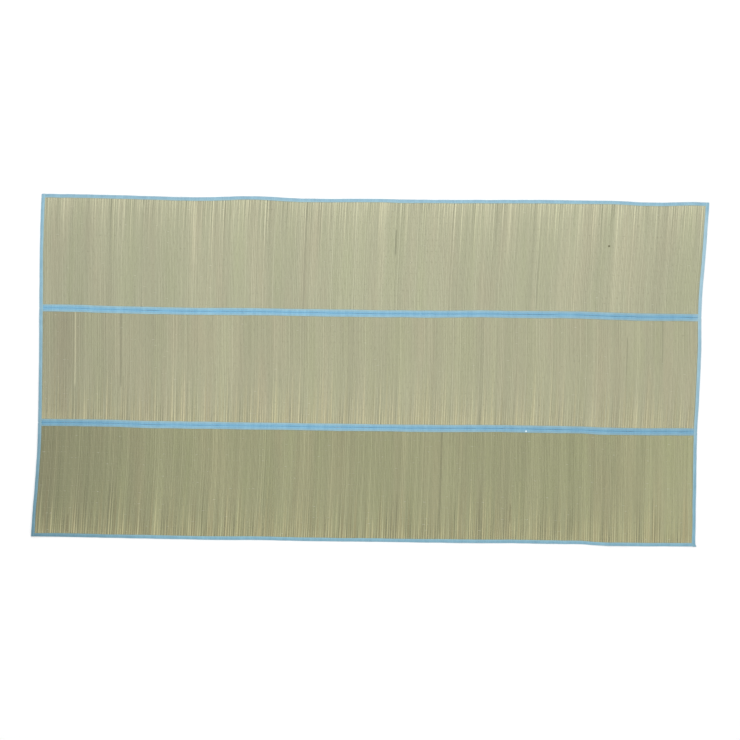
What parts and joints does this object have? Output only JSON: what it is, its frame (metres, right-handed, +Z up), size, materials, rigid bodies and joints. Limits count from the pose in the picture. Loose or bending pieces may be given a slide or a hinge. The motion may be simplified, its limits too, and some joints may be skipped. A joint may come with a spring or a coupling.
{
  "type": "beach mat",
  "caption": "Folding beach mat of woven straw, opened out flat, with light blue folded tape sewn over its edges and along its fold lines.",
  "frame": {"origin": "on the ground, at the middle of the footprint", "axes": "+X along the mat, +Y across it from the near edge to the far edge, +Z up"},
  "size_m": [1.8264, 0.9363, 0.0064],
  "materials": {
    "straw_near": "matte",
    "straw_middle": "matte",
    "straw_far": "matte",
    "tape": "satin",
    "thread": "matte"
  },
  "bodies": {
    "root": {"panel_near": "straw_near", "tape_near_front": "tape", "tape_near_back": "tape", "panel_middle": "straw_middle", "tape_middle_front": "tape", "tape_middle_back": "tape", "panel_far": "straw_far", "tape_far_front": "tape", "tape_far_back": "tape", "tape_right_end": "tape", "tape_left_end": "tape"}
  },
  "joints": []
}
